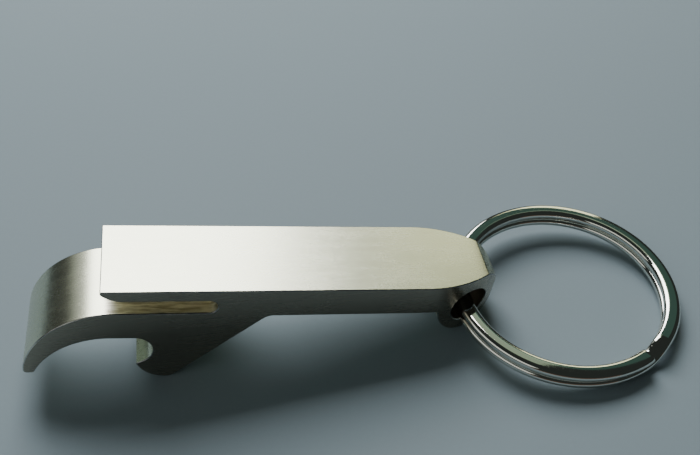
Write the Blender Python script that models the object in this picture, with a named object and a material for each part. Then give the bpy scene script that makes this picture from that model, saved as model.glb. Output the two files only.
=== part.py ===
"""Keychain bottle opener: a one-piece metal opener with a split ring through its end hole.

Units are metres, +Z is up.  The opener lies on a table (z = 0) on its lifting tooth and on the
boss round the ring hole, with the long axis along X and the ring at the +X end.
The outline is drawn in millimetres in the opener's own frame: X from the tab lifter's tip
towards the ring, Z = 0 on the flat top face, Y across the width.
"""
import math

import bmesh
import bpy
from mathutils import Matrix, Vector

MM = 0.001
ARC_STEP = math.radians(6.0)

# overall body
WIDTH = 12.0
HANDLE_THICK = 4.5
EDGE_BREAK = 0.15

# tab lifter (thin tongue over a slot)
TONGUE_THICK = 1.7
TONGUE_NOSE = 0.5
TONGUE_BEVEL = 2.8
SLOT_END_X = 14.0
ARM_TOP_Z = -3.8

# cap hook
HOOK_OUTER = (1.6, -15.3, 11.5)
HOOK_INNER = (0.8, -18.22, 10.0)
HOOK_OUTER_END = math.radians(168.5)
HOOK_INNER_END = math.radians(156.5)
HOOK_TIP = (-9.78, -14.42)
HOOK_TIP_RADIUS = 0.6
HOOK_LIP = (-8.5, -14.36)
HOOK_LIP_RADIUS = 0.2
BITE = (3.87, -10.62, 2.33)
BITE_END = math.radians(-66.0)

# lifting tooth and the slope behind it
TOOTH_TIP = (4.08, -13.2)
TOOTH_TIP_RADIUS = 0.22
TOOTH_BELLY = (7.85, -11.91, 3.93)
TOOTH_BELLY_START = math.radians(207.0)
TOOTH_HEEL_RADIUS = 1.5
SLOPE_TOP_X = 20.36
SLOPE_ANGLE = math.radians(43.9)
SLOPE_FILLET = 1.6

# boss and nose at the ring end
BOSS = (47.55, -4.2, 4.65)
BOSS_FILLET = 0.5
NOSE_SIDE_RADIUS = 16.4
NOSE_START_X = 40.65
NOSE_TIP_RADIUS = 2.5

# ring hole
HOLE_X = 47.6
HOLE_Z = -4.6
HOLE_RADIUS = 2.65

# split ring
RING_OUTER = 15.78
WIRE_WIDTH = 2.25
WIRE_THICK = 1.3
COIL_GAP = 0.1
WIRE_CORNER = 0.58
RING_CENTRE = (61.77, -2.71, -3.7)
RING_NORMAL = (-0.1058, -0.0534, 0.993)
HINGE_SPOT = (47.75, 0.0, -4.8)
HINGE_YAW = math.radians(4.0)
HINGE_TILT = math.radians(1.0)
COIL_START = math.radians(-50.0)
JOG_START = math.radians(-35.0)
LOWER_END = math.radians(-26.0)
RING_STEP = math.radians(5.0)


def clear_scene():
    """Remove whatever the start-up file brought along."""
    for obj in list(bpy.data.objects):
        bpy.data.objects.remove(obj, do_unlink=True)


def metal(name, colour, roughness):
    """Plain metallic material."""
    mat = bpy.data.materials.new(name)
    mat.use_nodes = True
    shader = mat.node_tree.nodes["Principled BSDF"]
    shader.inputs["Base Color"].default_value = (*colour, 1.0)
    shader.inputs["Metallic"].default_value = 1.0
    shader.inputs["Roughness"].default_value = roughness
    mat.diffuse_color = (*colour, 1.0)
    return mat


def arc(cx, cz, radius, start, end, step=ARC_STEP):
    """Points on an arc from start to end, both ends included."""
    count = max(2, math.ceil(abs(end - start) / step))
    points = []
    for i in range(count + 1):
        a = start + (end - start) * i / count
        points.append((cx + radius * math.cos(a), cz + radius * math.sin(a)))
    return points


def on_circle(circle, angle):
    """Point at an angle on a circle (x, z, radius)."""
    x, z, radius = circle
    return (x + radius * math.cos(angle), z + radius * math.sin(angle))


def corner_round(before, corner, after, radius, count=4):
    """Arc that rounds the corner between two straight runs."""
    a = (Vector(before) - Vector(corner)).normalized()
    b = (Vector(after) - Vector(corner)).normalized()
    half = a.angle(b) / 2.0
    reach = radius / math.tan(half)
    centre = Vector(corner) + (a + b).normalized() * radius / math.sin(half)
    first = Vector(corner) + a * reach - centre
    last = Vector(corner) + b * reach - centre
    points = []
    for i in range(count + 1):
        spoke = first.slerp(last, i / count).normalized()
        points.append(tuple(centre + spoke * radius))
    return points


def tongue_and_slot_outline():
    """Tab lifter tip, its underside, the slot's round end and the arm under the slot."""
    drop = TONGUE_THICK - TONGUE_NOSE
    belly = (TONGUE_BEVEL ** 2 + drop ** 2) / (2.0 * drop)
    start = math.atan2(drop - belly, -TONGUE_BEVEL)
    points = [(0.0, 0.0)]
    points += arc(TONGUE_BEVEL, belly - TONGUE_THICK, belly, start, -math.pi / 2.0)
    slot_radius = (-ARM_TOP_Z - TONGUE_THICK) / 2.0
    slot_z = (ARM_TOP_Z - TONGUE_THICK) / 2.0
    points += arc(SLOT_END_X - slot_radius, slot_z, slot_radius, math.pi / 2.0, -math.pi / 2.0,
                  math.radians(22.5))
    return points


def hook_outline():
    """Outer sweep of the hook, its rounded tip, the inner sweep and the bite over the tooth."""
    points = arc(*HOOK_OUTER, math.pi / 2.0, HOOK_OUTER_END)
    inner_end = on_circle(HOOK_INNER, HOOK_INNER_END)
    points += corner_round(points[-1], HOOK_TIP, HOOK_LIP, HOOK_TIP_RADIUS)
    points += corner_round(HOOK_TIP, HOOK_LIP, inner_end, HOOK_LIP_RADIUS, 2)
    points += arc(*HOOK_INNER, HOOK_INNER_END, math.pi / 2.0)
    points += arc(*BITE, math.pi / 2.0, BITE_END, math.radians(10.0))
    return points


def tooth_outline():
    """Lifting tooth: sharp rounded tip, belly, heel and the slope up to the handle."""
    bite_end = on_circle(BITE, BITE_END)
    belly_start = on_circle(TOOTH_BELLY, TOOTH_BELLY_START)
    points = corner_round(bite_end, TOOTH_TIP, belly_start, TOOTH_TIP_RADIUS)
    points += arc(*TOOTH_BELLY, TOOTH_BELLY_START, 1.5 * math.pi)
    bottom = TOOTH_BELLY[1] - TOOTH_BELLY[2]
    rise = -HANDLE_THICK - bottom
    heel = (SLOPE_TOP_X - rise / math.tan(SLOPE_ANGLE), bottom)
    top = (SLOPE_TOP_X, -HANDLE_THICK)
    points += corner_round((TOOTH_BELLY[0], bottom), heel, top, TOOTH_HEEL_RADIUS)
    points += corner_round(heel, top, (BOSS[0], -HANDLE_THICK), SLOPE_FILLET)
    return points


def boss_outline():
    """Underside up to the boss, round the boss and up the nose to the top face."""
    start = math.pi + math.asin((BOSS[1] + HANDLE_THICK) / BOSS[2])
    fillet_x = BOSS[0] - BOSS[2] - BOSS_FILLET * 0.9
    points = arc(fillet_x, -HANDLE_THICK - BOSS_FILLET, BOSS_FILLET, math.pi / 2.0,
                 math.radians(12.0), math.radians(26.0))
    end = 2.0 * math.pi + math.asin(-BOSS[1] / BOSS[2])
    points += arc(*BOSS, start + math.radians(7.0), end)
    return points


def side_outline():
    """Whole closed outline of the body seen from the side, clockwise from the tab tip."""
    points = tongue_and_slot_outline() + hook_outline() + tooth_outline() + boss_outline()
    clean = [points[0]]
    for point in points[1:]:
        if (Vector(point) - Vector(clean[-1])).length > 0.02:
            clean.append(point)
    return clean


def nose_outline():
    """Plan outline: parallel sides, then two long arcs meeting in a small round nose."""
    half = WIDTH / 2.0
    side_y = half - NOSE_SIDE_RADIUS
    tip_x = NOSE_START_X + math.sqrt((NOSE_SIDE_RADIUS - NOSE_TIP_RADIUS) ** 2 - side_y ** 2)
    meet = math.atan2(-side_y, tip_x - NOSE_START_X)
    far = arc(NOSE_START_X, side_y, NOSE_SIDE_RADIUS, math.pi / 2.0, meet, math.radians(4.0))
    tip = arc(tip_x, 0.0, NOSE_TIP_RADIUS, meet, -meet, math.radians(9.0))
    near = [(x, -y) for x, y in reversed(far)]
    left = -20.0
    return [(left, half + 1.0), (NOSE_START_X - 0.4, half + 1.0), (NOSE_START_X - 0.4, half)] \
        + far + tip[1:-1] + near \
        + [(NOSE_START_X - 0.4, -half), (NOSE_START_X - 0.4, -half - 1.0), (left, -half - 1.0)]


def prism(name, points, to_space, lift):
    """Closed prism: outline points placed by to_space, then pushed along lift."""
    mesh = bpy.data.meshes.new(name)
    bm = bmesh.new()
    verts = [bm.verts.new(Vector(to_space(p)) * MM) for p in points]
    face = bm.faces.new(verts)
    pushed = bmesh.ops.extrude_face_region(bm, geom=[face])
    top = [v for v in pushed["geom"] if isinstance(v, bmesh.types.BMVert)]
    bmesh.ops.translate(bm, verts=top, vec=Vector(lift) * MM)
    bmesh.ops.recalc_face_normals(bm, faces=bm.faces)
    bm.to_mesh(mesh)
    bm.free()
    obj = bpy.data.objects.new(name, mesh)
    bpy.context.scene.collection.objects.link(obj)
    return obj


def break_side_edges(obj):
    """Small chamfer where the flat sides meet the outline."""
    bm = bmesh.new()
    bm.from_mesh(obj.data)
    sides = [f for f in bm.faces if abs(f.normal.y) > 0.9]
    rims = [e for f in sides for e in f.edges]
    bmesh.ops.bevel(bm, geom=rims, offset=EDGE_BREAK * MM, segments=1, profile=0.5,
                    affect="EDGES", clamp_overlap=True)
    bm.to_mesh(obj.data)
    bm.free()


def as_cutter(obj, parent):
    """Hide a helper solid that only cuts."""
    obj.parent = parent
    obj.hide_render = True
    obj.display_type = "WIRE"
    return obj


def add_boolean(target, cutter, operation):
    """Exact boolean on the target."""
    mod = target.modifiers.new(cutter.name, "BOOLEAN")
    mod.operation = operation
    mod.solver = "EXACT"
    mod.object = cutter
    return mod


def smooth(obj, degrees):
    """Smooth shading with crisp corners kept."""
    obj.data.shade_smooth()
    obj.data.set_sharp_from_angle(angle=math.radians(degrees))


def rest_tilt():
    """Tilt that puts the tooth's belly and the boss on one line."""
    run = Vector((BOSS[0] - TOOTH_BELLY[0], BOSS[1] - TOOTH_BELLY[1]))
    return math.atan2(run.y, run.x) - math.asin((BOSS[2] - TOOTH_BELLY[2]) / run.length)


def lying_frame():
    """Frame of the opener lying on the table, centred over the assembly's footprint."""
    tilt = rest_tilt()
    down = Vector((math.sin(tilt), -math.cos(tilt)))
    lift = -(Vector(BOSS[:2]).dot(down) + BOSS[2])
    turn = Matrix.Rotation(tilt, 4, "Y")
    left = min((turn @ Vector((x, 0.0, z))).x for x, z in side_outline())
    ring = turn @ Vector(RING_CENTRE)
    slope = (turn @ Vector(RING_NORMAL)).normalized()
    rim = RING_OUTER - WIRE_CORNER
    stack = WIRE_THICK + COIL_GAP / 2.0 - WIRE_CORNER
    right = ring.x + rim * math.sqrt(1.0 - slope.x ** 2) + stack * slope.x + WIRE_CORNER
    near = ring.y - RING_OUTER
    far = ring.y + RING_OUTER
    shift = Vector((-(left + right) / 2.0, -(near + far) / 2.0, -lift))
    return Matrix.Translation(shift * MM) @ turn


def build_body(frame, mat):
    """Opener body: side outline through the width, trimmed to the nose and drilled."""
    half = WIDTH / 2.0
    body = prism("opener_body", side_outline(), lambda p: (p[0], -half, p[1]), (0, WIDTH, 0))
    break_side_edges(body)
    body.parent = frame
    nose = prism("nose_trim", nose_outline(), lambda p: (p[0], p[1], -25.0), (0, 0, 30.0))
    as_cutter(nose, frame)
    drill = ring_hole_drill(frame)
    add_boolean(body, nose, "INTERSECT")
    add_boolean(body, drill, "DIFFERENCE")
    body.data.materials.append(mat)
    smooth(body, 28.0)
    return body


def ring_hole_drill(frame):
    """Round drill for the ring hole, across the full width."""
    mesh = bpy.data.meshes.new("ring_hole_drill")
    bm = bmesh.new()
    turn = Matrix.Rotation(math.pi / 2.0, 4, "X")
    place = Matrix.Translation(Vector((HOLE_X, 0.0, HOLE_Z)) * MM) @ turn
    bmesh.ops.create_cone(bm, cap_ends=True, segments=40, radius1=HOLE_RADIUS * MM,
                          radius2=HOLE_RADIUS * MM, depth=(WIDTH + 4.0) * MM, matrix=place)
    bm.to_mesh(mesh)
    bm.free()
    drill = bpy.data.objects.new("ring_hole_drill", mesh)
    bpy.context.scene.collection.objects.link(drill)
    return as_cutter(drill, frame)


def wire_section():
    """Rounded rectangle of the flat wire: (radial, vertical) offsets, anticlockwise."""
    half_w = WIRE_WIDTH / 2.0
    half_t = WIRE_THICK / 2.0
    points = []
    for k, (sx, sz) in enumerate(((1, 1), (-1, 1), (-1, -1), (1, -1))):
        centre = (sx * (half_w - WIRE_CORNER), sz * (half_t - WIRE_CORNER))
        start = k * math.pi / 2.0
        points += arc(*centre, WIRE_CORNER, start, start + math.pi / 2.0, math.radians(45.0))
    return points


def wire_path():
    """Stations of the wound wire: (angle, height), two turns joined by the short jog."""
    high = (WIRE_THICK + COIL_GAP) / 2.0
    full = 2.0 * math.pi
    upper_end = JOG_START - full
    jog_end = COIL_START - full
    stations = [(a, high) for a in spaced(COIL_START, upper_end)]
    for i in range(1, 8):
        t = i / 8.0
        ease = t * t * (3.0 - 2.0 * t)
        stations.append((upper_end + (jog_end - upper_end) * t, high - 2.0 * high * ease))
    stations += [(a, -high) for a in spaced(jog_end, LOWER_END - 2.0 * full)]
    return stations


def spaced(start, end):
    """Angles from start down to end, both included."""
    count = math.ceil((start - end) / RING_STEP)
    return [start + (end - start) * i / count for i in range(count + 1)]


def ring_plane():
    """Ring's own frame: origin at its centre, X away from the hole, Z its normal."""
    normal = Vector(RING_NORMAL).normalized()
    centre = Vector(RING_CENTRE)
    reach = centre - Vector((HOLE_X, 0.0, HOLE_Z))
    outward = (reach - normal * reach.dot(normal)).normalized()
    basis = Matrix((outward, normal.cross(outward), normal)).transposed().to_4x4()
    return Matrix.Translation(centre * MM) @ basis


def ring_hinge():
    """Hinge frame: origin inside the hole, Y along the hinge axis.

    The wire lies low and skewed in the roomy hole, so its axis is a little off the hole's own.
    """
    turn = Matrix.Rotation(-HINGE_YAW, 4, "Z") @ Matrix.Rotation(HINGE_TILT, 4, "X")
    return Matrix.Translation(Vector(HINGE_SPOT) * MM) @ turn


def wound_wire():
    """Flat wire swept round its two turns, centred on the ring."""
    mid_radius = RING_OUTER - WIRE_WIDTH / 2.0
    section = wire_section()
    bm = bmesh.new()
    loops = []
    for angle, height in wire_path():
        out = Vector((math.cos(angle), math.sin(angle), 0.0))
        spots = [out * (mid_radius + radial) + Vector((0.0, 0.0, height + up))
                 for radial, up in section]
        loops.append([bm.verts.new(spot * MM) for spot in spots])
    for first, second in zip(loops, loops[1:]):
        for i, vert in enumerate(first):
            j = (i + 1) % len(first)
            bm.faces.new((vert, first[j], second[j], second[i]))
    bm.faces.new(loops[0])
    bm.faces.new(list(reversed(loops[-1])))
    bmesh.ops.recalc_face_normals(bm, faces=bm.faces)
    return bm


def build_ring(frame, mat):
    """Split ring: one flat wire wound twice, with its origin on the hinge in the hole."""
    hinge = ring_hinge()
    bm = wound_wire()
    bmesh.ops.transform(bm, matrix=hinge.inverted() @ ring_plane(), verts=bm.verts)
    mesh = bpy.data.meshes.new("split_ring")
    bm.to_mesh(mesh)
    bm.free()
    ring = bpy.data.objects.new("split_ring", mesh)
    bpy.context.scene.collection.objects.link(ring)
    ring.parent = frame
    ring.matrix_local = hinge
    ring.data.materials.append(mat)
    smooth(ring, 50.0)
    return ring


def main():
    """Build the assembly."""
    clear_scene()
    frame = bpy.data.objects.new("lying_frame", None)
    bpy.context.scene.collection.objects.link(frame)
    frame.matrix_world = lying_frame()
    satin = metal("satin_nickel", (0.62, 0.60, 0.55), 0.38)
    bright = metal("bright_nickel", (0.72, 0.71, 0.68), 0.12)
    build_body(frame, satin)
    build_ring(frame, bright)


main()
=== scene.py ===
"""Looks of a keychain bottle opener lying on a table: satin opener, polished split ring, stage."""
import math

import bmesh
import bpy
from bpy.props import FloatProperty, FloatVectorProperty, IntProperty, PointerProperty
from mathutils import Matrix, Vector


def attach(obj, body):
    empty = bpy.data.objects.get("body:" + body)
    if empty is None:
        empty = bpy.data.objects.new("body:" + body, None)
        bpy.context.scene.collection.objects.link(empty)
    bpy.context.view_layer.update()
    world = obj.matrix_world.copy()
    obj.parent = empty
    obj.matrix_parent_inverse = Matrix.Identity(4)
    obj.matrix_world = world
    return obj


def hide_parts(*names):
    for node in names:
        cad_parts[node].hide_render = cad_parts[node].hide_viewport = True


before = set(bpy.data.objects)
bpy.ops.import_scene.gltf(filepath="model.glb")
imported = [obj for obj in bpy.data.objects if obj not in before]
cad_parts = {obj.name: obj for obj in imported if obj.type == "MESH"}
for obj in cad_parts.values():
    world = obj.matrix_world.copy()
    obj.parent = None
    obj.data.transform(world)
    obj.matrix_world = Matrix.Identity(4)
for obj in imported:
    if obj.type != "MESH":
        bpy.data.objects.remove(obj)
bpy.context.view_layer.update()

bl_info = {
    "name": "Keychain Bottle Opener",
    "version": (1, 0, 0),
    "blender": (4, 5, 0),
    "location": "View3D > Sidebar > Opener",
    "description": "Builds a satin keychain bottle opener with a polished split ring",
    "category": "Object",
}

MM = 0.001

# the opener's own frame on the table: its tilt about Y, and where the tab tip's top edge lies
LYING_TILT = math.asin(0.1731374)
TAB_TIP = Vector((-32.0165, 2.71, 17.0193))

# side outline in the opener's own frame, millimetres: (x, z, radius)
HOOK_OUTER = (1.6, -15.3, 11.5)
HOOK_INNER = (0.8, -18.22, 10.0)
BITE = (3.87, -10.62, 2.33)
TOOTH_BELLY = (7.85, -11.91, 3.93)
BOSS = (47.55, -4.2, 4.65)
HOOK_TIP = (-9.78, -14.42)
HOOK_LIP = (-8.5, -14.36)
TOOTH_TIP = (4.08, -13.2)
ARM_TOP = -3.8
SLOT_END = 14.0
SLOPE_TOP = 20.36
SLOPE_ANGLE = math.radians(43.9)

# plan outline of the nose
NOSE_START = 40.65
NOSE_SIDE = 16.4
NOSE_TIP = 2.5

# ring hole and split ring
HOLE = (47.6, -4.6, 2.65)
RING_CENTRE = (61.77, -2.71, -3.7)
RING_NORMAL = (-0.1058, -0.0534, 0.993)
COIL_START = math.radians(-50.0)
JOG_START = math.radians(-35.0)
LOWER_END = math.radians(-26.0)

# the short step down between the ring's two turns: the share of the drop in each seventh of it
JOG_SHARES = (0.03, 0.11, 0.20, 0.32, 0.20, 0.11, 0.03)

# the wire's rounded shoulders: their reach across it, drawn on a section stretched in thickness
SHOULDER = 0.74
SECTION_STRETCH = 1.2
WIRE_END_ROUND = 0.08

# thin lip and length of the tab lifter's curved underside
TAB_LIP = 0.5
TAB_REACH = 2.8

# fillet between the handle's underside and the boss, and the soft end of the top face
BOSS_FILLET = 0.5
TOP_END_ROUND = 1.9

# besides the rims of its two sides, the body's edges that turn by more than the first are
# rounded; on both pieces, edges past the second that are left are shaded sharp
RIM_ANGLE = math.radians(40.0)
SHARP_ANGLE = math.radians(50.0)

# numbers kept on the body's faces, read by its material as attributes
FINISH_LAYERS = ("cut", "rim_wear_and_shade", "milled", "drilled")

# the milled finish, whose lighter tone is also painted bounce light in the slot: faces between
# these lines of the opener's own frame, fading in from a place along the opener that is measured
# in millimetres from the table's middle
MILLED_FRONT = -1.5
MILLED_FLOOR = ARM_TOP - 0.6
MILLED_ROOF = -1.6
MILLED_FROM = -34.4
MILLED_FADE = 1.1

# tones of the opener's metal, partly its own (tool marks, wear) and partly painted light and shade
# milled tool marks; their light tone is also painted bounce light in the slot
CUTTER_DARK = (0.50, 0.47, 0.35, 1.0)
MILLED_BOUNCE_LIGHT = (0.96, 0.94, 0.80, 1.0)
# painted shade on the flat sides, standing in for the dark shadowed floor they reflect
SIDE_SHADE_TONE = (0.33, 0.30, 0.25, 1.0)
# painted shade inside the drilled ring hole
HOLE_SHADE_TONE = (0.15, 0.135, 0.10, 1.0)
# rounded rims: a painted dark line of shade and dark reflection, with patches of lighter wear
EDGE_PAINTED_SHADE = (0.22, 0.22, 0.25, 1.0)
EDGE_BRIGHT = (0.80, 0.79, 0.72, 1.0)

# camera: place in metres, turns in degrees about Z, X and its own Z, and the lens's shift
CAMERA_PLACE = (-0.013694, -0.078892, 0.093733)
CAMERA_BEARING = -8.688
CAMERA_TILT = 45.112
CAMERA_ROLL = -1.167
CAMERA_SHIFT = 0.0431


def own_frame():
    """Matrix from the opener's own frame in millimetres to the table in metres."""
    turn = Matrix.Rotation(LYING_TILT, 4, "Y")
    return Matrix.Scale(MM, 4) @ Matrix.Translation(TAB_TIP) @ turn


# ---------------------------------------------------------------- properties


class OpenerBodyProperties(bpy.types.PropertyGroup):
    """Sizes and colours of the opener."""

    width: FloatProperty(
        name="Width", description="Width of the bar across the opener", default=0.012,
        min=0.005, max=0.03, unit="LENGTH")
    handle_thickness: FloatProperty(
        name="Handle thickness", description="Thickness of the flat handle", default=0.0045,
        min=0.001, max=0.01, unit="LENGTH")
    tab_thickness: FloatProperty(
        name="Tab lifter thickness", description="Thickness of the thin tongue over the slot",
        default=0.0017, min=0.0005, max=0.004, unit="LENGTH")
    edge_round: FloatProperty(
        name="Edge rounding", description="Tumbled rounding along every outer edge",
        default=0.00014, min=0.00002, max=0.001, unit="LENGTH")
    satin_colour: FloatVectorProperty(
        name="Satin nickel", description="Colour of the satin plated faces",
        default=(0.67, 0.69, 0.54), min=0.0, max=1.0, subtype="COLOR", size=3)


class SplitRingProperties(bpy.types.PropertyGroup):
    """Sizes and colours of the split ring."""

    outer_radius: FloatProperty(
        name="Outer radius", description="Outer radius of the split ring", default=0.01578,
        min=0.005, max=0.03, unit="LENGTH")
    wire_width: FloatProperty(
        name="Wire width", description="Radial width of the flat wire", default=0.00225,
        min=0.0005, max=0.004, unit="LENGTH")
    wire_thickness: FloatProperty(
        name="Wire thickness", description="Thickness of one turn of the flat wire",
        default=0.0013, min=0.0005, max=0.003, unit="LENGTH")
    coil_gap: FloatProperty(
        name="Coil gap", description="Gap between the two turns", default=0.0001,
        min=0.0, max=0.001, unit="LENGTH")
    steps_per_turn: IntProperty(
        name="Steps per turn", description="Segments in one turn of the wire", default=180,
        min=36, max=720)
    plate_colour: FloatVectorProperty(
        name="Bright nickel", description="Colour of the polished plating",
        default=(0.78, 0.79, 0.73), min=0.0, max=1.0, subtype="COLOR", size=3)


class StageProperties(bpy.types.PropertyGroup):
    """Table, light and camera."""

    floor_size: FloatProperty(
        name="Table size", description="Side of the square table top", default=1.6,
        min=0.3, max=5.0, unit="LENGTH")
    floor_colour: FloatVectorProperty(
        name="Table colour", description="Colour of the plain table top",
        default=(0.25, 0.325, 0.365), min=0.0, max=1.0, subtype="COLOR", size=3)
    lens: FloatProperty(
        name="Lens", description="Focal length of the camera", default=46.02,
        min=10.0, max=200.0, subtype="DISTANCE_CAMERA")


# ---------------------------------------------------------------- mesh helpers


class OutlinePen:
    """Draws an open chain of edges in the XZ plane with bmesh operators, in millimetres."""

    def __init__(self, bm, x, z):
        self.bm = bm
        self.first = bm.verts.new((x, 0.0, z))
        self.last = self.first

    def line_to(self, x, z):
        """Straight edge to a point."""
        pushed = bmesh.ops.extrude_vert_indiv(self.bm, verts=[self.last])
        self.last = pushed["verts"][0]
        self.last.co = Vector((x, 0.0, z))
        return self.last

    def arc_to(self, circle, end, step=2.5):
        """Arc about a circle's centre, from where the pen is to the end angle in degrees."""
        centre = Vector((circle[0], 0.0, circle[1]))
        here = self.last.co - centre
        start = math.degrees(math.atan2(here.z, here.x))
        turn = end - start
        turn -= 360.0 * round(turn / 360.0)
        count = max(2, math.ceil(abs(turn) / step))
        swept = bmesh.ops.spin(
            self.bm, geom=[self.last], cent=centre, axis=(0.0, -1.0, 0.0),
            angle=math.radians(turn), steps=count, use_merge=False)
        self.last = [v for v in swept["geom_last"] if isinstance(v, bmesh.types.BMVert)][0]

    def close(self):
        """Last edge back to the start; returns the closed loop's edges."""
        self.bm.edges.new((self.last, self.first))
        return list(self.bm.edges)


def at(circle, degrees):
    """Point on a circle at an angle."""
    a = math.radians(degrees)
    return (circle[0] + circle[2] * math.cos(a), circle[1] + circle[2] * math.sin(a))


def as_object(bm, name, body, material):
    """Finished bmesh in metres to a shown object that rides on a body."""
    mesh = bpy.data.meshes.new(name)
    bm.to_mesh(mesh)
    bm.free()
    obj = bpy.data.objects.new(name, mesh)
    bpy.context.scene.collection.objects.link(obj)
    mesh.materials.append(material)
    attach(obj, body)
    return obj


def smooth_faces(obj):
    """Smooth shading that stays flat on the flat faces and crisp at the corners."""
    obj.data.shade_smooth()
    obj.data.set_sharp_from_angle(angle=SHARP_ANGLE)
    flats = obj.modifiers.new("flat_faces", "WEIGHTED_NORMAL")
    flats.mode = "FACE_AREA"
    flats.keep_sharp = True


# ---------------------------------------------------------------- shader helpers


class Value:
    """A number socket that can be used in Python expressions."""

    def __init__(self, shader, socket):
        self.shader = shader
        self.socket = socket

    def _math(self, operation, a, b):
        return self.shader.node("ShaderNodeMath", {"operation": operation}, {0: a, 1: b}).out()

    def __add__(self, other):
        return self._math("ADD", self, other)

    def __radd__(self, other):
        return self._math("ADD", other, self)

    def __sub__(self, other):
        return self._math("SUBTRACT", self, other)

    def __rsub__(self, other):
        return self._math("SUBTRACT", other, self)

    def __mul__(self, other):
        return self._math("MULTIPLY", self, other)

    def __rmul__(self, other):
        return self._math("MULTIPLY", other, self)


class Placed:
    """A node that was added, with its outputs at hand."""

    def __init__(self, shader, node):
        self.shader = shader
        self.node = node

    def out(self, name=0):
        """One output socket, wrapped."""
        return Value(self.shader, self.node.outputs[name])


class Finish:
    """A new material and the means to wire it."""

    def __init__(self, name):
        self.material = bpy.data.materials.new(name)
        self.material.use_nodes = True
        self.tree = self.material.node_tree
        self.surface = self.tree.nodes["Principled BSDF"]

    def node(self, kind, settings=None, inputs=None):
        """Add a node: its settings first, then the values or links of its sockets."""
        node = self.tree.nodes.new(kind)
        for key, value in (settings or {}).items():
            setattr(node, key, value)
        for key, value in (inputs or {}).items():
            self.feed(node.inputs[key], value)
        return Placed(self, node)

    def feed(self, socket, value):
        """Link a wrapped socket, or set a constant."""
        if isinstance(value, Value):
            self.tree.links.new(value.socket, socket)
        else:
            socket.default_value = value

    def set(self, **values):
        """Feed the main shader's sockets by name, with _ for a space."""
        for key, value in values.items():
            self.feed(self.surface.inputs[key.replace("_", " ")], value)

    def coordinates(self, scale, turn=(0.0, 0.0, 0.0)):
        """Object coordinates, turned and stretched."""
        place = self.node("ShaderNodeTexCoord").out("Object")
        return self.node("ShaderNodeMapping", {"vector_type": "POINT"},
                         {"Vector": place, "Rotation": turn, "Scale": scale}).out()

    def noise(self, vector, scale, detail, roughness):
        """Noise value."""
        return self.node("ShaderNodeTexNoise", None, {
            "Vector": vector, "Scale": scale, "Detail": detail, "Roughness": roughness}).out("Fac")

    def ramp(self, value, low, high):
        """Value remapped from low..high to 0..1, clamped."""
        return self.node("ShaderNodeMapRange", {"clamp": True}, {
            "Value": value, "From Min": low, "From Max": high}).out()

    def mix(self, factor, first, second):
        """Mix of two colours."""
        return self.node("ShaderNodeMix", {"data_type": "RGBA"},
                         {"Factor": factor, 6: first, 7: second}).out(2)

    def along(self, vector):
        """First component of a vector."""
        return self.node("ShaderNodeSeparateXYZ", None, {"Vector": vector}).out("X")

    def smooth(self, value, low, high):
        """Soft step from 0 to 1 between two values."""
        return self.node("ShaderNodeMapRange", {"interpolation_type": "SMOOTHSTEP"},
                         {"Value": value, "From Min": low, "From Max": high}).out("Result")

    def attribute(self, name):
        """A number stored on the faces."""
        return self.node("ShaderNodeAttribute", {"attribute_name": name}).out("Fac")

    def bump(self, height, strength, distance):
        """Bump from a height."""
        return self.node("ShaderNodeBump", None, {
            "Height": height, "Strength": strength, "Distance": distance}).out()


def satin_nickel(name, colour):
    """Satin plating over fine brushing along the opener, duller where it was milled or drilled,
    with painted shade on the flat sides, in the ring hole and along the rims, and painted bounce
    light in the slot.
    """
    mat = Finish(name)
    turn = (0.0, -LYING_TILT, 0.0)
    brushing = mat.noise(mat.coordinates((90.0, 7000.0, 7000.0), turn), 1.0, 3.0, 0.6)
    streaks = mat.noise(mat.coordinates((14.0, 900.0, 900.0), turn), 1.0, 4.0, 0.6)
    milling = mat.noise(mat.coordinates((25.0, 2600.0, 2600.0), turn), 1.0, 2.0, 0.5)
    cloud = mat.noise(mat.coordinates((1.0, 1.0, 1.0)), 130.0, 4.0, 0.55)
    grain = mat.noise(mat.coordinates((1.0, 1.0, 1.0)), 5200.0, 2.0, 0.5)
    along = mat.along(mat.coordinates((1000.0, 1000.0, 1000.0), turn))
    milled = mat.attribute("milled") * mat.smooth(along, MILLED_FROM, MILLED_FROM + MILLED_FADE)
    drilled = mat.attribute("drilled")
    rim_wear_and_shade = mat.attribute("rim_wear_and_shade")
    cut = mat.attribute("cut")
    shade = streaks * 0.4 + cloud * 0.35 + brushing * 0.25
    dark = (*[c * 0.90 for c in colour], 1.0)
    light = (*[min(1.0, c * 1.05) for c in colour], 1.0)
    plated = mat.mix(mat.ramp(shade, 0.35, 0.65), dark, light)
    # milled tool marks, lighter overall as painted bounce light in the slot
    milled_bounce_lit = mat.mix(mat.ramp(milling, 0.35, 0.65), CUTTER_DARK, MILLED_BOUNCE_LIGHT)
    plated_or_milled_lit = mat.mix(milled, plated, milled_bounce_lit)
    # painted shade: the flat sides darkened for the dark floor and shadow they reflect
    side_shaded = mat.mix(cut * 0.9, plated_or_milled_lit, SIDE_SHADE_TONE)
    # painted shade: the faces inside the ring hole darkened
    hole_shaded = mat.mix(drilled, side_shaded, HOLE_SHADE_TONE)
    # rounded rims: painted dark line of shade, patches of lighter wear
    edge = mat.mix(mat.ramp(cloud, 0.5, 0.75), EDGE_PAINTED_SHADE, EDGE_BRIGHT)
    # the rims' colour laid over the rest: painted shade and wear, not polish alone
    polished = mat.mix(rim_wear_and_shade * 0.85, hole_shaded, edge)
    satin = 0.24 + brushing * 0.06 + (cloud - 0.5) * 0.06 + (streaks - 0.5) * 0.05
    relief = (brushing * 0.55 + streaks * 0.25) * (1.0 - cut * 0.8) + grain * 0.2
    mat.set(
        Base_Color=polished,
        Metallic=1.0,
        Roughness=satin + milled * 0.14 + drilled * 0.30 - rim_wear_and_shade * 0.04,
        Normal=mat.bump(relief + milled * milling * 1.6, 0.14, 0.00002))
    return mat.material


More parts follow.
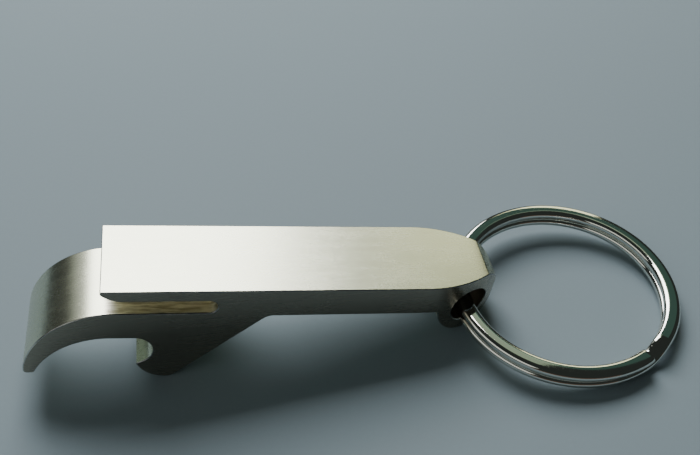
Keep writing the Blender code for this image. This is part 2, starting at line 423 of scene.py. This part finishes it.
def bright_nickel(name, colour):
    """Polished plating with faint waviness."""
    mat = Finish(name)
    wave = mat.noise(mat.coordinates((1.0, 1.0, 1.0)), 260.0, 3.0, 0.5)
    fine = mat.noise(mat.coordinates((1.0, 1.0, 1.0)), 2600.0, 2.0, 0.5)
    dark = (*[c * 0.95 for c in colour], 1.0)
    mat.set(
        Base_Color=mat.mix(wave, dark, (*colour, 1.0)),
        Metallic=1.0,
        Roughness=0.05 + mat.ramp(fine, 0.5, 0.8) * 0.06,
        Normal=mat.bump(wave, 0.08, 0.00002))
    return mat.material


def plain_table(name, colour):
    """Matt laminate with a very fine grain."""
    mat = Finish(name)
    grain = mat.noise(mat.coordinates((1.0, 1.0, 1.0)), 1500.0, 3.0, 0.6)
    cloud = mat.noise(mat.coordinates((1.0, 1.0, 1.0)), 12.0, 3.0, 0.5)
    dark = (*[c * 0.96 for c in colour], 1.0)
    mat.set(
        Base_Color=mat.mix(mat.ramp(grain * 0.5 + cloud * 0.5, 0.3, 0.7), dark, (*colour, 1.0)),
        Roughness=0.75,
        Normal=mat.bump(grain, 0.1, 0.00005))
    return mat.material


# ---------------------------------------------------------------- opener body


def draw_tab_and_slot(pen, handle):
    """Tab lifter's blunt tip and rounded underside, then the slot's round end."""
    tab = handle.tab_thickness / MM
    drop = tab - TAB_LIP
    belly = (TAB_REACH ** 2 + drop ** 2) / (2.0 * drop)
    pen.line_to(0.0, -TAB_LIP)
    pen.arc_to((TAB_REACH, belly - tab), -90.0, 2.0)
    radius = (-ARM_TOP - tab) / 2.0
    pen.line_to(SLOT_END - radius, -tab)
    pen.arc_to((SLOT_END - radius, -tab - radius), -90.0, 9.0)


def draw_hook(pen):
    """Outer sweep, tip, inner sweep and the round bite over the tooth; returns the corners."""
    pen.line_to(HOOK_OUTER[0], ARM_TOP)
    pen.arc_to(HOOK_OUTER, 168.5)
    corners = [(pen.line_to(*HOOK_TIP), 0.62), (pen.line_to(*HOOK_LIP), 0.16)]
    pen.line_to(*at(HOOK_INNER, 156.5))
    pen.arc_to(HOOK_INNER, 90.0)
    pen.line_to(BITE[0], BITE[1] + BITE[2])
    pen.arc_to(BITE, -66.0, 6.0)
    return corners


def draw_tooth(pen, handle):
    """Tooth tip, belly, heel and the slope up to the handle's underside; returns the corners."""
    corners = [(pen.line_to(*TOOTH_TIP), 0.2)]
    pen.line_to(*at(TOOTH_BELLY, 207.0))
    pen.arc_to(TOOTH_BELLY, 270.0)
    thick = handle.handle_thickness / MM
    bottom = TOOTH_BELLY[1] - TOOTH_BELLY[2]
    heel = SLOPE_TOP - (-thick - bottom) / math.tan(SLOPE_ANGLE)
    corners.append((pen.line_to(heel, bottom), 0.6))
    corners.append((pen.line_to(SLOPE_TOP, -thick), 0.7))
    return corners


def draw_boss(pen, handle):
    """Handle's underside, the round boss and the blunt end; returns the top face's corner."""
    thick = handle.handle_thickness / MM
    x = BOSS[0] - BOSS[2] - BOSS_FILLET * 0.9
    pen.line_to(x, -thick)
    pen.arc_to((x, -thick - BOSS_FILLET), 12.0, 13.0)
    start = math.degrees(math.asin((BOSS[1] + thick) / BOSS[2])) + 187.0
    pen.line_to(*at(BOSS, start))
    pen.arc_to(BOSS, 270.0)
    pen.arc_to(BOSS, 0.0)
    pen.arc_to(BOSS, math.degrees(math.asin(-BOSS[1] / BOSS[2])))
    return [(pen.last, TOP_END_ROUND)]


def round_corners(bm, corners):
    """Round drawn corners; each is a vertex and how far the rounding reaches."""
    for vert, reach in corners:
        bmesh.ops.bevel(bm, geom=[vert], offset=reach, segments=6, profile=0.5,
                        affect="VERTICES", material=-1)


def drawn_side(handle):
    """Flat side of the opener with the ring hole left open, at y = 0."""
    bm = bmesh.new()
    pen = OutlinePen(bm, 0.0, 0.0)
    draw_tab_and_slot(pen, handle)
    corners = draw_hook(pen)
    corners += draw_tooth(pen, handle)
    corners += draw_boss(pen, handle)
    rim = pen.close()
    face = bmesh.ops.contextual_create(bm, geom=rim)["faces"][0]
    round_corners(bm, corners)
    bmesh.ops.remove_doubles(bm, verts=bm.verts, dist=0.01)
    bmesh.ops.delete(bm, geom=list(bm.faces), context="FACES_ONLY")
    upright = Matrix.Translation((HOLE[0], 0.0, HOLE[1])) @ Matrix.Rotation(math.pi / 2, 4, "X")
    bmesh.ops.create_circle(bm, cap_ends=False, segments=64, radius=HOLE[2], matrix=upright)
    bmesh.ops.triangle_fill(bm, use_beauty=True, use_dissolve=False, edges=list(bm.edges),
                            normal=(0.0, -1.0, 0.0))
    bmesh.ops.dissolve_limit(bm, angle_limit=0.01, verts=[], edges=list(bm.edges))
    return bm


def nose_half_width(x, half):
    """Half width of the nose in plan at a distance along the opener."""
    side_y = half - NOSE_SIDE
    tip_x = NOSE_START + math.sqrt((NOSE_SIDE - NOSE_TIP) ** 2 - side_y ** 2)
    meet = tip_x + NOSE_TIP * (tip_x - NOSE_START) / (NOSE_SIDE - NOSE_TIP)
    if x <= NOSE_START:
        return half
    if x < meet:
        return side_y + math.sqrt(max(0.0, NOSE_SIDE ** 2 - (x - NOSE_START) ** 2))
    return math.sqrt(max(0.0, NOSE_TIP ** 2 - (x - tip_x) ** 2))


def shape_nose(bm, half):
    """Cut the nose into upright strips, finer towards its tip, then draw its sides in."""
    x = NOSE_START
    end = BOSS[0] + BOSS[2]
    while x < end - 0.02:
        bmesh.ops.bisect_plane(bm, geom=bm.verts[:] + bm.edges[:] + bm.faces[:], dist=0.0005,
                               plane_co=(x, 0.0, 0.0), plane_no=(1.0, 0.0, 0.0))
        left = end - x
        x += 0.45 if left > 2.5 else max(0.04, left * 0.22)
    for vert in bm.verts:
        wide = max(0.02, nose_half_width(vert.co.x, half))
        vert.co.y = math.copysign(wide, vert.co.y)


def mark_finishes(bm, rounded):
    """Note which faces are the rounded rims, which carry wear and painted shade, and which are
    milled in the slot or drilled for the ring.

    The two flat sides are noted as cut before this.
    """
    sides = bm.faces.layers.float["cut"]
    rim_wear_and_shade = bm.faces.layers.float["rim_wear_and_shade"]
    milled = bm.faces.layers.float["milled"]
    drilled = bm.faces.layers.float["drilled"]
    for face in rounded:
        face[rim_wear_and_shade] = 1.0
        face[sides] = 0.0
    for face in bm.faces:
        spot = face.calc_center_median()
        if abs(face.normal.y) > 0.6 or face[rim_wear_and_shade] > 0.5:
            continue
        if math.hypot(spot.x - HOLE[0], spot.z - HOLE[1]) < HOLE[2] + 0.02:
            face[drilled] = 1.0
        elif MILLED_FRONT < spot.x <= SLOT_END and MILLED_FLOOR < spot.z < MILLED_ROOF:
            face[milled] = 1.0


def build_opener_body(handle):
    """One solid bar: side outline through the width, nose drawn in, every edge rounded."""
    half = handle.width / MM / 2.0
    bm = drawn_side(handle)
    pushed = bmesh.ops.extrude_face_region(bm, geom=list(bm.faces), use_keep_orig=True)
    far = {v for v in pushed["geom"] if isinstance(v, bmesh.types.BMVert)}
    for vert in bm.verts:
        vert.co.y = half if vert in far else -half
    bmesh.ops.recalc_face_normals(bm, faces=bm.faces)
    for finish in FINISH_LAYERS:
        bm.faces.layers.float.new(finish)
    sides = bm.faces.layers.float["cut"]
    for face in bm.faces:
        face[sides] = 1.0 if abs(face.normal.y) > 0.9 else 0.0
    shape_nose(bm, half)
    rims = [e for e in bm.edges if len(e.link_faces) == 2
            and (e.link_faces[0][sides] != e.link_faces[1][sides]
                 or e.calc_face_angle(0.0) > RIM_ANGLE)]
    rounded = bmesh.ops.bevel(bm, geom=rims, offset=handle.edge_round / MM, segments=3,
                              profile=0.5, affect="EDGES", clamp_overlap=False, material=-1)
    mark_finishes(bm, rounded["faces"])
    bmesh.ops.recalc_face_normals(bm, faces=bm.faces)
    bmesh.ops.transform(bm, matrix=own_frame(), verts=bm.verts)
    return bm


# ---------------------------------------------------------------- split ring


def ring_frame():
    """Matrix from the ring's own frame in millimetres to the table in metres."""
    normal = Vector(RING_NORMAL).normalized()
    centre = Vector(RING_CENTRE)
    reach = centre - Vector((HOLE[0], 0.0, HOLE[1]))
    outward = (reach - normal * reach.dot(normal)).normalized()
    basis = Matrix((outward, normal.cross(outward), normal)).transposed().to_4x4()
    return own_frame() @ Matrix.Translation(centre) @ basis


def sweep(bm, loop, turn, steps, drop):
    """Carry the wire's section round by an angle while it drops by a distance."""
    swept = bmesh.ops.spin(
        bm, geom=loop, cent=(0.0, 0.0, 0.0), axis=(0.0, 0.0, 1.0), angle=turn, steps=steps,
        dvec=(0.0, 0.0, -drop / steps), use_merge=False)
    return swept["geom_last"]


def build_split_ring(wire):
    """Flat wire wound twice: upper turn, short jog down, lower turn."""
    width, thick = wire.wire_width / MM, wire.wire_thickness / MM
    drop = thick + wire.coil_gap / MM
    middle = wire.outer_radius / MM - width / 2.0
    bm = bmesh.new()
    section = bmesh.ops.create_grid(bm, x_segments=1, y_segments=1, size=0.5)["verts"]
    bmesh.ops.scale(bm, vec=(width, thick * SECTION_STRETCH, 1.0), verts=section)
    bmesh.ops.rotate(bm, cent=(0, 0, 0), matrix=Matrix.Rotation(math.pi / 2, 3, "X"),
                     verts=section)
    bmesh.ops.bevel(bm, geom=section, offset=SHOULDER, segments=8, profile=0.5,
                    affect="VERTICES", material=-1)
    bmesh.ops.scale(bm, vec=(1.0, 1.0, 1.0 / SECTION_STRETCH), verts=bm.verts)
    bmesh.ops.translate(bm, vec=(middle, 0.0, drop / 2.0), verts=bm.verts)
    bmesh.ops.rotate(bm, cent=(0, 0, 0), matrix=Matrix.Rotation(COIL_START, 3, "Z"),
                     verts=bm.verts)
    bmesh.ops.delete(bm, geom=list(bm.faces), context="FACES_ONLY")
    loop = list(bm.verts) + list(bm.edges)
    upper = JOG_START - 2.0 * math.pi - COIL_START
    jog = COIL_START - JOG_START
    lower = LOWER_END - COIL_START - 2.0 * math.pi
    fine = 2.0 * math.pi / wire.steps_per_turn
    loop = sweep(bm, loop, upper, round(-upper / fine), 0.0)
    for share in JOG_SHARES:
        loop = sweep(bm, loop, jog / len(JOG_SHARES), 2, drop * share)
    sweep(bm, loop, lower, round(-lower / fine), 0.0)
    caps = bmesh.ops.holes_fill(bm, edges=[e for e in bm.edges if e.is_boundary], sides=0)
    bmesh.ops.recalc_face_normals(bm, faces=bm.faces)
    rims = [e for f in caps["faces"] for e in f.edges]
    bmesh.ops.bevel(bm, geom=rims, offset=WIRE_END_ROUND, segments=2, profile=0.5,
                    affect="EDGES", clamp_overlap=True, material=-1)
    bmesh.ops.transform(bm, matrix=ring_frame(), verts=bm.verts)
    bmesh.ops.recalc_face_normals(bm, faces=bm.faces)
    return bm


# ---------------------------------------------------------------- operators


class OPENER_OT_body(bpy.types.Operator):
    """Build the opener's body with its satin finish"""

    bl_idname = "opener.body"
    bl_label = "Opener Body"

    def execute(self, context):
        handle = context.scene.opener_body
        finish = satin_nickel("satin_nickel_plate", handle.satin_colour)
        body = as_object(build_opener_body(handle), "opener_bar", "opener", finish)
        smooth_faces(body)
        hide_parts("opener_body")
        return {"FINISHED"}


class OPENER_OT_ring(bpy.types.Operator):
    """Build the split ring with its polished finish"""

    bl_idname = "opener.ring"
    bl_label = "Split Ring"

    def execute(self, context):
        wire = context.scene.split_ring
        finish = bright_nickel("bright_nickel_plate", wire.plate_colour)
        ring = as_object(build_split_ring(wire), "split_ring_wire", "ring", finish)
        smooth_faces(ring)
        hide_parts("split_ring")
        return {"FINISHED"}


def soft_light(name, bearing, height, size, glow, colour=(1.0, 1.0, 1.0), away=0.55):
    """Rectangular panel aimed at the opener, placed by bearing from +Y and height in degrees."""
    data = bpy.data.lights.new(name, "AREA")
    data.shape = "RECTANGLE"
    data.size, data.size_y = size
    data.energy = glow * math.pi * size[0] * size[1]
    data.color = colour
    lamp = bpy.data.objects.new(name, data)
    bpy.context.scene.collection.objects.link(lamp)
    turn, rise = math.radians(bearing), math.radians(height)
    lamp.location = (away * math.sin(turn) * math.cos(rise),
                     away * math.cos(turn) * math.cos(rise), away * math.sin(rise))
    lamp.rotation_euler = (-lamp.location).to_track_quat("-Z", "Y").to_euler()


def add_camera(stage):
    """Camera above the near side, looking down along the table."""
    data = bpy.data.cameras.new("stage_camera")
    data.lens = stage.lens
    data.sensor_width = 36.0
    data.shift_y = CAMERA_SHIFT
    data.clip_start = 0.01
    camera = bpy.data.objects.new("stage_camera", data)
    bpy.context.scene.collection.objects.link(camera)
    camera.matrix_world = (
        Matrix.Translation(CAMERA_PLACE)
        @ Matrix.Rotation(math.radians(CAMERA_BEARING), 4, "Z")
        @ Matrix.Rotation(math.radians(CAMERA_TILT), 4, "X")
        @ Matrix.Rotation(math.radians(CAMERA_ROLL), 4, "Z"))
    bpy.context.scene.camera = camera


class OPENER_OT_stage(bpy.types.Operator):
    """Lay the table and set the lights and the camera"""

    bl_idname = "opener.stage"
    bl_label = "Stage"

    def execute(self, context):
        stage = context.scene.opener_stage
        bm = bmesh.new()
        bmesh.ops.create_grid(bm, x_segments=1, y_segments=1, size=stage.floor_size / 2.0)
        mesh = bpy.data.meshes.new("table_top")
        bm.to_mesh(mesh)
        bm.free()
        floor = bpy.data.objects.new("table_top", mesh)
        context.scene.collection.objects.link(floor)
        mesh.materials.append(plain_table("table_laminate", stage.floor_colour))
        world = bpy.data.worlds.new("studio")
        world.use_nodes = True
        backdrop = world.node_tree.nodes["Background"]
        backdrop.inputs["Color"].default_value = (0.72, 0.84, 0.78, 1.0)
        backdrop.inputs["Strength"].default_value = 0.035
        context.scene.world = world
        soft_light("window_box", -4.0, 46.0, (0.347, 0.36), 8.6)
        soft_light("warm_wall", 32.5, 28.0, (0.12, 0.20), 1.8, (1.0, 1.0, 0.66))
        soft_light("pale_ceiling", 33.0, 55.0, (0.14, 0.15), 0.36, (0.80, 1.0, 0.72))
        soft_light("green_curtain", 42.0, 43.0, (0.36, 0.16), 0.06, (0.35, 1.0, 0.78), 0.8)
        soft_light("brown_wall", 178.0, 7.0, (0.9, 0.16), 0.11, (1.0, 0.5, 0.3), 0.6)
        soft_light("room_fill", -112.0, 36.0, (0.8, 0.34), 0.75, (0.95, 0.97, 0.92), 0.6)
        soft_light("grey_wall", -33.0, 33.0, (0.15, 0.20), 0.42, (0.93, 1.0, 0.94))
        add_camera(stage)
        return {"FINISHED"}


class OPENER_PT_panel(bpy.types.Panel):
    """Sizes and builders of the keychain bottle opener"""

    bl_label = "Keychain Opener"
    bl_idname = "OPENER_PT_panel"
    bl_space_type = "VIEW_3D"
    bl_region_type = "UI"
    bl_category = "Opener"

    def draw(self, context):
        scene = context.scene
        rows = (("opener_body", "opener.body", ("width", "edge_round", "satin_colour")),
                ("split_ring", "opener.ring", ("outer_radius", "wire_width", "plate_colour")),
                ("opener_stage", "opener.stage", ("floor_colour", "lens")))
        for group, operator, names in rows:
            box = self.layout.box()
            for name in names:
                box.prop(getattr(scene, group), name)
            box.operator(operator)


CLASSES = (
    OpenerBodyProperties,
    SplitRingProperties,
    StageProperties,
    OPENER_OT_body,
    OPENER_OT_ring,
    OPENER_OT_stage,
    OPENER_PT_panel,
)


def register():
    """Register the classes and hang the settings on the scene."""
    for cls in CLASSES:
        bpy.utils.register_class(cls)
    bpy.types.Scene.opener_body = PointerProperty(type=OpenerBodyProperties)
    bpy.types.Scene.split_ring = PointerProperty(type=SplitRingProperties)
    bpy.types.Scene.opener_stage = PointerProperty(type=StageProperties)


def unregister():
    """Take the settings and classes away again."""
    del bpy.types.Scene.opener_stage
    del bpy.types.Scene.split_ring
    del bpy.types.Scene.opener_body
    for cls in reversed(CLASSES):
        bpy.utils.unregister_class(cls)


def main():
    """Build everything in order."""
    register()
    bpy.ops.opener.body()
    bpy.ops.opener.ring()
    bpy.ops.opener.stage()


if __name__ == "__main__":
    main()
